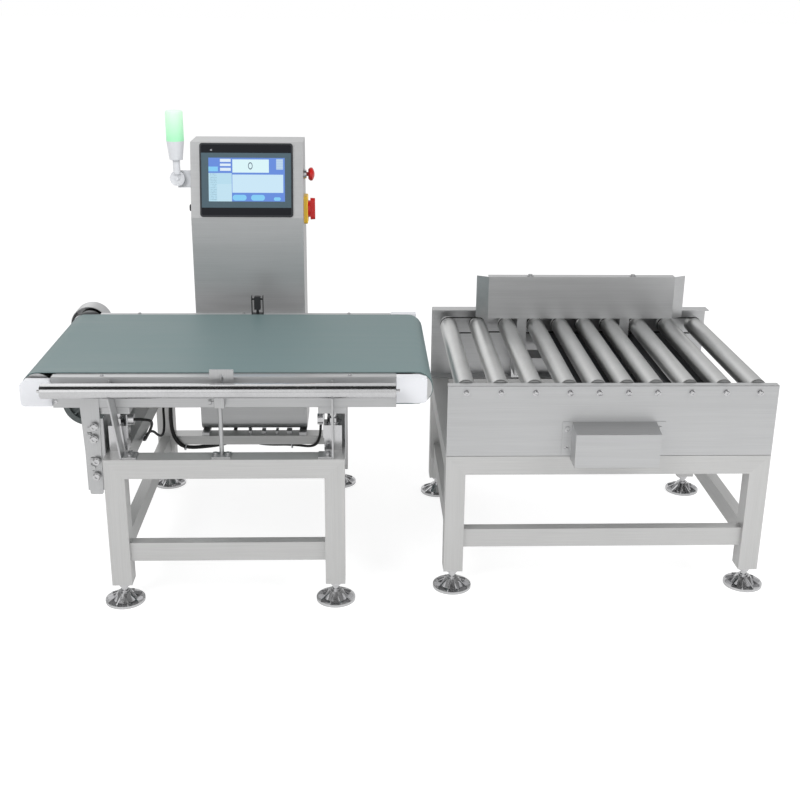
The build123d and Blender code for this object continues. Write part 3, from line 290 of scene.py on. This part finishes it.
# woven-back belting: a fine matt cover with faint scuffs along the travel
def beltCover():
    facts = finishes["belt"]
    colour = facts["colour"]
    finish = Finish("beltCover", colour)
    scuffs = finish.noise(finish.stretch(2.5, 45, 45), 1.0, 4.0)
    cloud = finish.noise(finish.place, 3.0, 3.0)
    skin = finish.noise(finish.place, 900.0, 2.0)
    shade = scuffs * 0.45 + cloud * 0.55
    finish.colour(finish.blend(finish.span(shade, 0.3, 0.7, 0.0, 1.0), tint(colour, 0.93), tint(colour, 1.07)))
    finish.rough(finish.span(shade, 0.3, 0.7, *facts["roughness"]))
    finish.relief(skin, 0.12, 0.0002)
    return finish.material


def dress(material, *names):
    for name in names:
        nodes[name].data.materials.clear()
        nodes[name].data.materials.append(material)


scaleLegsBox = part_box("scale_legs")
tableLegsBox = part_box("table_legs")
sheetAlongX = brushedSteel("sheetAlongX", "X", **finishes["brushedSheet"])
sheetAlongY = brushedSteel("sheetAlongY", "Y", **finishes["brushedSheet"])
sheetUpright = brushedSteel("sheetUpright", "Z", **finishes["brushedSheet"])
legSteel = brushedSteel("legSteel", "Z", **finishes["frameTube"])
scaleRailSteel = railSteel("scaleRailSteel", scaleLegsBox[0].x, scaleLegsBox[1].x, scaleLegsBox[0].y,
                           scaleLegsBox[1].y, **finishes["frameTube"])
tableRailSteel = railSteel("tableRailSteel", tableLegsBox[0].x, tableLegsBox[1].x, tableLegsBox[0].y,
                           tableLegsBox[1].y, **finishes["frameTube"])
polished = smoothMetal("polished", **finishes["polished"], strength=0.004)
satinRoller = smoothMetal("satinRoller", **finishes["satinRoller"], strength=0.006)
castAlloy = smoothMetal("castAlloy", (0.50, 0.51, 0.52), (0.38, 0.5), 260.0, 0.12)
endBlock = mouldedPlastic("endBlock", **finishes["endBlock"])
blackPlastic = mouldedPlastic("blackPlastic", (0.018, 0.018, 0.02), (0.38, 0.5))
blackRubber = mouldedPlastic("blackRubber", (0.014, 0.014, 0.014), (0.55, 0.7))
greyPaint = mouldedPlastic("greyPaint", (0.10, 0.115, 0.115), (0.32, 0.42), 420.0, 0.06)
redPlastic = mouldedPlastic("redPlastic", (0.60, 0.012, 0.010), (0.25, 0.33), 500.0, 0.04, coat=0.3)
yellowPlastic = mouldedPlastic("yellowPlastic", (0.95, 0.60, 0.06), (0.38, 0.48))
bezelGrey = mouldedPlastic("bezelGrey", (0.016, 0.018, 0.022), (0.34, 0.42))

dress(legSteel, "scale_legs", "table_legs")
dress(scaleRailSteel, "scale_rails")
dress(tableRailSteel, "table_rails")
dress(sheetAlongX, "column_wrap", "column_door", "column_mounts", "front_panel", "rear_panel", "drive_box",
      "side_plates", "slider_bed", "pusher_plate", "pusher_carriage")
dress(sheetAlongY, "column_sides", "side_skirts", "platform_bars")
dress(sheetUpright, "guard_brackets", "slotted_brace", "sensor_post")
dress(polished, "foot_pads", "foot_studs", "load_posts", "guide_rods", "roller_axles", "door_hinges")
dress(satinRoller, "drive_roller", "tail_roller", *(f"table_roller_{number}" for number in range(1, 11)))
dress(castAlloy, "motor_plate", "air_cylinder", "motor_pulley")
dress(endBlock, "end_covers", "light_body", "light_bracket")
dress(beltCover(), "belt")
dress(blackRubber, "timing_belt", "roller_loops")
dress(blackPlastic, "photo_eye")
dress(polished, "stop_collar", "guard_tube")
dress(greyPaint, "drive_motor")
dress(sheetAlongX, "pulley_guard")
dress(bezelGrey, "panel_bezel")
# deck covers: a dark anodised plate, made near-black also as painted shade for the shadowed space under the rollers
darkDeckAndShade = mouldedPlastic("darkDeckAndShade", (0.045, 0.047, 0.050), (0.38, 0.5), 300.0, 0.08)
dress(darkDeckAndShade, "deck_covers")
for piece in cordPieces:
    piece.data.materials.append(blackRubber)
dress(redPlastic, "stop_button", "switch_handle")
dress(yellowPlastic, "switch_plate")


# stack light lens: ribbed green plastic that glows a little
def lensGreen():
    colour = (0.42, 0.80, 0.50)
    finish = Finish("lensGreen", colour, roughness=0.3)
    height = finish.axis("Z")
    ribs = finish.add("TexWave", {"Vector": finish.place, "Scale": 60.0}, bands_direction="Z")
    glow = finish.span(height, 1.07, 1.15, 0.0, 1.0)
    finish.colour(finish.blend(glow, (0.36, 0.74, 0.46), (0.62, 0.90, 0.66)))
    finish.feed(finish.shader.inputs["Emission Color"], finish.blend(glow, (0.30, 0.85, 0.45), (0.62, 1.0, 0.70)))
    finish.shader.inputs["Emission Strength"].default_value = 0.25
    finish.relief(Wire(finish, ribs.outputs["Fac"]), 0.15, 0.0006)
    return finish.material


dress(lensGreen(), "light_lens")


# operator screen: left, right, bottom and top as fractions of the glass, and the colour of each field
screenFields = {
    "field": ((0.0, 1.0, 0.110, 0.886), (0.075, 0.115, 0.140)),
    "dot": ((0.102, 0.122, 0.914, 0.936), (0.30, 0.30, 0.32)),
    "ground": ((0.080, 0.930, 0.199, 0.817), (0.130, 0.270, 0.760)),
    "tab": ((0.080, 0.185, 0.624, 0.691), (0.240, 0.640, 0.960)),
    "rowOne": ((0.209, 0.328, 0.758, 0.800), (0.78, 0.90, 1.0)),
    "rowTwo": ((0.209, 0.328, 0.700, 0.734), (0.78, 0.90, 1.0)),
    "rowThree": ((0.209, 0.328, 0.632, 0.674), (0.78, 0.90, 1.0)),
    "number": ((0.347, 0.753, 0.608, 0.794), (0.74, 0.96, 1.0)),
    "list": ((0.080, 0.338, 0.199, 0.600), (0.50, 0.76, 0.90)),
    "listTop": ((0.172, 0.338, 0.200, 0.445), (0.56, 0.80, 0.93)),
    "wide": ((0.344, 0.912, 0.323, 0.580), (0.62, 0.84, 0.98)),
    "table": ((0.834, 0.911, 0.652, 0.802), (0.44, 0.62, 0.84)),
    "pillOne": ((0.346, 0.501, 0.211, 0.293), (0.240, 0.640, 0.960)),
    "pillTwo": ((0.551, 0.706, 0.211, 0.293), (0.240, 0.640, 0.960)),
    "pillThree": ((0.805, 0.883, 0.211, 0.260), (0.240, 0.640, 0.960)),
}


def screenPicture():
    low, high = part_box("panel_glass")
    finish = Finish("screenPicture", (0.010, 0.011, 0.014), roughness=0.16)
    finish.shader.inputs["Specular IOR Level"].default_value = 0.16
    across = finish.span(finish.axis("X"), low.x, high.x, 0.0, 1.0)
    upward = finish.span(finish.axis("Z"), low.z, high.z, 0.0, 1.0)
    picture = (0.010, 0.011, 0.014)
    glow = None

    def window(left, right, bottom, top):
        sides = (across > left) * (across < right)
        return sides * ((upward > bottom) * (upward < top))

    def pill(left, right, bottom, top):
        reach = (top - bottom) / 2 * (high.z - low.z) / (high.x - low.x)
        shape = window(left + reach, right - reach, bottom, top)
        for middle in (left + reach, right - reach):
            sideways = (across - middle) * (1.0 / reach)
            standing = (upward - (bottom + top) / 2) * (2.0 / (top - bottom))
            shape = shape.work("MAXIMUM", (sideways * sideways + standing * standing) < 1.0)
        return shape

    for name, (edges, colour) in screenFields.items():
        inside = pill(*edges) if name.startswith("pill") else window(*edges)
        picture = finish.blend(inside, picture, colour)
    glow = window(*screenFields["ground"][0])
    # faint rules in the list and the small table, and the figure in the number field
    rules = finish.add("Math", {0: upward * 260.0}, operation="SINE")
    marks = (Wire(finish, rules.outputs[0]) > 0.2) * window(0.095, 0.170, 0.215, 0.590)
    marks = marks * (finish.noise(finish.stretch(900, 900, 60), 1.0, 1.0) > 0.5)
    picture = finish.blend(marks * 0.5, picture, (0.10, 0.22, 0.32))
    cells = (Wire(finish, rules.outputs[0]) > 0.0) * window(0.838, 0.908, 0.656, 0.798)
    picture = finish.blend(cells * 0.5, picture, (0.66, 0.82, 0.95))
    sideways = (across - 0.546) * (1.0 / 0.0255)
    standing = (upward - 0.703) * (1.0 / 0.051)
    ring = (sideways * sideways + standing * standing)
    figure = (ring < 1.0) * (ring > 0.50)
    picture = finish.blend(figure, picture, (0.09, 0.13, 0.20))
    smear = finish.noise(finish.place, 12.0, 3.0)
    finish.colour(finish.blend(glow, picture, (0.02, 0.02, 0.02)))
    finish.feed(finish.shader.inputs["Emission Color"], finish.blend(glow, (0.0, 0.0, 0.0), picture))
    finish.shader.inputs["Emission Strength"].default_value = 0.92
    finish.rough(finish.span(smear, 0.3, 0.7, 0.12, 0.20))
    return finish.material


dress(screenPicture(), "panel_glass")
print("finishes done")


# ---- screws: one dome with a hexagon socket, modelled once and copied to each place
screws = {
    "rise": 0.42,
    "sides": 20,
    "weigher": {
        "front": ((-0.4051, 0.044, 0.535, 0.0045), (-0.3372, 0.044, 0.5413, 0.0045), (-0.3228, 0.044, 0.5412, 0.0045),
                  (-0.3166, 0.035, 0.472, 0.010), (-0.3190, 0.035, 0.440, 0.010),
                  (-0.3166, 0.035, 0.381, 0.010), (-0.3192, 0.035, 0.341, 0.010)),
        "up": ((-0.2924, 0.0555, 0.597, 0.0045), (0.3086, 0.0587, 0.597, 0.0045), (-0.3022, 0.628, 0.597, 0.0045),
               (-0.0023, 0.628, 0.597, 0.0045), (0.3018, 0.628, 0.597, 0.0045)),
    },
    "table": {
        "front": ((0.8519, 0.062, 0.4514, 0.006), (0.8519, 0.062, 0.400, 0.006)),
    },
}


def selectNone():
    bpy.ops.object.select_all(action="DESELECT")


def screwHead(name, place, facing, radius):
    selectNone()
    rise = radius * screws["rise"]
    tilt = (math.pi / 2, 0.0, 0.0) if facing == "front" else (0.0, 0.0, 0.0)
    way = Vector((0.0, -1.0, 0.0)) if facing == "front" else Vector((0.0, 0.0, 1.0))
    bpy.ops.mesh.primitive_cylinder_add(vertices=screws["sides"], radius=radius, depth=rise,
                                        location=Vector(place) + way * (rise / 2), rotation=tilt)
    head = bpy.context.active_object
    head.name = name
    bpy.ops.object.transform_apply(location=True, rotation=True, scale=True)
    bpy.ops.object.mode_set(mode="EDIT")
    bpy.ops.mesh.select_mode(type="FACE")
    bpy.ops.mesh.select_all(action="DESELECT")
    bpy.ops.object.mode_set(mode="OBJECT")
    for face in head.data.polygons:
        face.select = face.normal.dot(way) > 0.9
    bpy.ops.object.mode_set(mode="EDIT")
    bpy.ops.mesh.inset(thickness=radius * 0.30, depth=rise * 0.45)
    bpy.ops.mesh.inset(thickness=radius * 0.22, depth=0.0)
    bpy.ops.mesh.inset(thickness=radius * 0.04, depth=-rise * 0.8)
    bpy.ops.object.mode_set(mode="OBJECT")
    return head


def joinPieces(name, parts, body, material):
    selectNone()
    for part in parts:
        part.select_set(True)
    bpy.context.view_layer.objects.active = parts[0]
    bpy.ops.object.join()
    piece = bpy.context.active_object
    piece.name = name
    piece.data.name = name
    selectNone()
    piece.data.materials.clear()
    piece.data.materials.append(material)
    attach(piece, body)
    return piece


def fastenings():
    heads = []
    for facing, places in screws["weigher"].items():
        for x, y, z, radius in places:
            heads.append(screwHead("screw", (x + weigherCorner[0], y + weigherCorner[1], z), facing, radius))
    for x, y, z, radius in screws["table"]["front"]:
        heads.append(screwHead("screw", (x + weigherCorner[0], y + weigherCorner[1], z), "front", radius))
    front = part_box("roller_axles")[0].y
    for number in range(1, 11):
        low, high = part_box(f"table_roller_{number}")
        heads.append(screwHead("axleScrew", ((low.x + high.x) / 2, front, (low.z + high.z) / 2), "front", 0.0062))
    joinPieces("screw_heads", heads, "stand", polished)


# ---- small pieces of the weigher: cable ties and the side gland
smallPieces = {
    "ties": ((0.0075, (-0.2445, 0.716, 0.292)), (0.0085, (-0.214, 0.7515, 0.1295)), (0.0085, (-0.100, 0.785, 0.1265)),
             (0.0065, (0.120, 0.773, 0.131)), (0.0055, (-0.2385, 0.260, 0.354))),
    "tieWidth": 0.004,
    "gland": {"place": (-0.160, 0.830, 0.868), "radius": 0.010, "reach": 0.012},
}


def cableTies():
    loops = []
    spots = [(radius, Vector(place) + Vector(weigherCorner)) for radius, place in smallPieces["ties"]]
    for radius, place in spots:
        nearest, ahead = None, None
        for piece in cordPieces:
            mesh = routeMesh(piece)
            for first, second in zip(mesh, mesh[1:]):
                gap = (first - place).length
                if nearest is None or gap < nearest:
                    nearest, ahead, centre = gap, (second - first).normalized(), first.copy()
        selectNone()
        turn = ahead.to_track_quat("Z", "Y").to_euler()
        bpy.ops.mesh.primitive_torus_add(major_radius=radius, minor_radius=0.0013, major_segments=28,
                                         minor_segments=8, location=centre, rotation=turn)
        loop = bpy.context.active_object
        bpy.ops.object.transform_apply(location=True, rotation=True, scale=True)
        bpy.ops.mesh.primitive_cube_add(size=0.006, location=centre + Vector((0.0, 0.0, -radius - 0.001)))
        lock = bpy.context.active_object
        bpy.ops.object.transform_apply(location=True, rotation=True, scale=True)
        bevel = lock.modifiers.new("edge", "BEVEL")
        bevel.width = 0.001
        bevel.segments = 2
        bpy.ops.object.modifier_apply(modifier="edge")
        loops += [loop, lock]
    joinPieces("cable_ties", loops, "stand", endBlock)


# the points of a cord's own smooth line
def routeMesh(piece):
    line = piece.data.copy()
    line.bevel_depth = 0.0
    bare = bpy.data.objects.new("bareLine", line)
    mesh = bpy.data.meshes.new_from_object(bare)
    points = [vertex.co.copy() for vertex in mesh.vertices]
    bpy.data.objects.remove(bare)
    bpy.data.curves.remove(line)
    bpy.data.meshes.remove(mesh)
    return points


def sideGland():
    facts = smallPieces["gland"]
    selectNone()
    place = Vector(facts["place"]) + Vector(weigherCorner) - Vector((facts["reach"] / 2 - 0.0002, 0.0, 0.0))
    bpy.ops.mesh.primitive_cylinder_add(vertices=6, radius=facts["radius"] * 1.12, depth=facts["reach"] * 0.45,
                                        location=place + Vector((facts["reach"] * 0.27, 0.0, 0.0)),
                                        rotation=(0.0, math.pi / 2, 0.0))
    nut = bpy.context.active_object
    bpy.ops.object.transform_apply(location=True, rotation=True, scale=True)
    bpy.ops.mesh.primitive_cylinder_add(vertices=28, radius=facts["radius"], depth=facts["reach"], location=place,
                                        rotation=(0.0, math.pi / 2, 0.0))
    cap = bpy.context.active_object
    bpy.ops.object.transform_apply(location=True, rotation=True, scale=True)
    for part in (nut, cap):
        bpy.context.view_layer.objects.active = part
        bevel = part.modifiers.new("edge", "BEVEL")
        bevel.width = 0.0012
        bevel.segments = 2
        bpy.ops.object.modifier_apply(modifier="edge")
    joinPieces("side_gland", [nut, cap], "stand", blackPlastic)


fastenings()
cableTies()
sideGland()
print("small pieces done")


# ---- floor, world and lamps
def studio():
    bpy.ops.mesh.primitive_plane_add(size=400.0, location=(0.0, 0.0, 0.0))
    floor = bpy.context.active_object
    floor.name = "floor"
    finish = Finish("floorPaper", (0.86, 0.86, 0.86), roughness=0.9)
    floor.data.materials.append(finish.material)
    tree = finish.tree
    path = finish.add("LightPath")
    level = finish.span(Wire(finish, path.outputs["Is Glossy Ray"]), 0.0, 1.0, 0.84, 0.42)
    bright = finish.add("Emission", {"Color": (1.0, 1.0, 1.0, 1.0), "Strength": level})
    both = tree.nodes.new("ShaderNodeAddShader")
    choose = tree.nodes.new("ShaderNodeMixShader")
    tree.links.new(bright.outputs[0], both.inputs[0])
    soft = finish.add("BsdfDiffuse", {"Color": (0.36, 0.36, 0.36, 1.0)})
    tree.links.new(soft.outputs[0], both.inputs[1])
    seen = Wire(finish, path.outputs["Is Camera Ray"]) + Wire(finish, path.outputs["Is Glossy Ray"])
    tree.links.new(seen.socket, choose.inputs[0])
    tree.links.new(finish.shader.outputs[0], choose.inputs[1])
    tree.links.new(both.outputs[0], choose.inputs[2])
    tree.links.new(choose.outputs[0], tree.nodes["Material Output"].inputs["Surface"])

    world = bpy.data.worlds.new("studio")
    scene.world = world
    world.use_nodes = True
    sky = world.node_tree
    back = sky.nodes["Background"]
    path = sky.nodes.new("ShaderNodeLightPath")
    both = sky.nodes.new("ShaderNodeMath")
    both.operation = "MAXIMUM"
    sky.links.new(path.outputs["Is Camera Ray"], both.inputs[0])
    sky.links.new(path.outputs["Is Glossy Ray"], both.inputs[1])
    strength = sky.nodes.new("ShaderNodeMapRange")
    sky.links.new(both.outputs[0], strength.inputs["Value"])
    strength.inputs["To Min"].default_value = 0.55
    strength.inputs["To Max"].default_value = 1.0
    # what bare metal mirrors: bright up on the left, duller and then dark towards both sides, dark overhead
    where = sky.nodes.new("ShaderNodeTexCoord")
    parts = sky.nodes.new("ShaderNodeSeparateXYZ")
    sky.links.new(where.outputs["Generated"], parts.inputs[0])
    place = sky.nodes.new("ShaderNodeMapRange")
    place.inputs["From Min"].default_value = -1.0
    sky.links.new(parts.outputs["X"], place.inputs["Value"])
    ramp = sky.nodes.new("ShaderNodeValToRGB")
    stops = ((0.0, 0.16), (0.16, 0.40), (0.30, 1.15), (0.38, 1.15), (0.50, 0.74), (0.72, 0.66), (0.86, 0.30), (1.0, 0.10))
    while len(ramp.color_ramp.elements) < len(stops):
        ramp.color_ramp.elements.new(0.5)
    for element, (spot, level) in zip(ramp.color_ramp.elements, stops):
        element.position = spot
        element.color = (level, level, level, 1.0)
    sky.links.new(place.outputs[0], ramp.inputs[0])
    steep = sky.nodes.new("ShaderNodeMath")
    steep.operation = "GREATER_THAN"
    steep.inputs[1].default_value = 0.62
    sky.links.new(parts.outputs["Z"], steep.inputs[0])
    nearer = sky.nodes.new("ShaderNodeMath")
    nearer.operation = "LESS_THAN"
    nearer.inputs[1].default_value = 0.06
    sky.links.new(parts.outputs["Y"], nearer.inputs[0])
    flag = sky.nodes.new("ShaderNodeMath")
    flag.operation = "MULTIPLY"
    sky.links.new(steep.outputs[0], flag.inputs[0])
    sky.links.new(nearer.outputs[0], flag.inputs[1])
    darker = sky.nodes.new("ShaderNodeMix")
    darker.data_type = "RGBA"
    sky.links.new(flag.outputs[0], darker.inputs[0])
    sky.links.new(ramp.outputs[0], darker.inputs[6])
    darker.inputs[7].default_value = (0.03, 0.03, 0.03, 1.0)
    choose = sky.nodes.new("ShaderNodeMix")
    choose.data_type = "RGBA"
    choose.inputs[6].default_value = (1.0, 1.0, 1.0, 1.0)
    sky.links.new(path.outputs["Is Glossy Ray"], choose.inputs[0])
    sky.links.new(darker.outputs[2], choose.inputs[7])
    sky.links.new(choose.outputs[2], back.inputs["Color"])
    sky.links.new(strength.outputs[0], back.inputs["Strength"])

    for name, place, size, power in (("keyLamp", (-2.2, -2.6, 3.4), 2.2, 95.0), ("fillLamp", (2.8, -1.6, 2.2), 2.0, 70.0)):
        lamp = bpy.data.lights.new(name, "AREA")
        lamp.size = size
        lamp.energy = power
        holder = bpy.data.objects.new(name, lamp)
        scene.collection.objects.link(holder)
        holder.location = place
        holder.visible_glossy = False
        holder.rotation_euler = (Vector((0.0, 0.1, 0.45)) - Vector(place)).to_track_quat("-Z", "Y").to_euler()


scene.view_settings.view_transform = "Standard"
studio()
print("studio done")
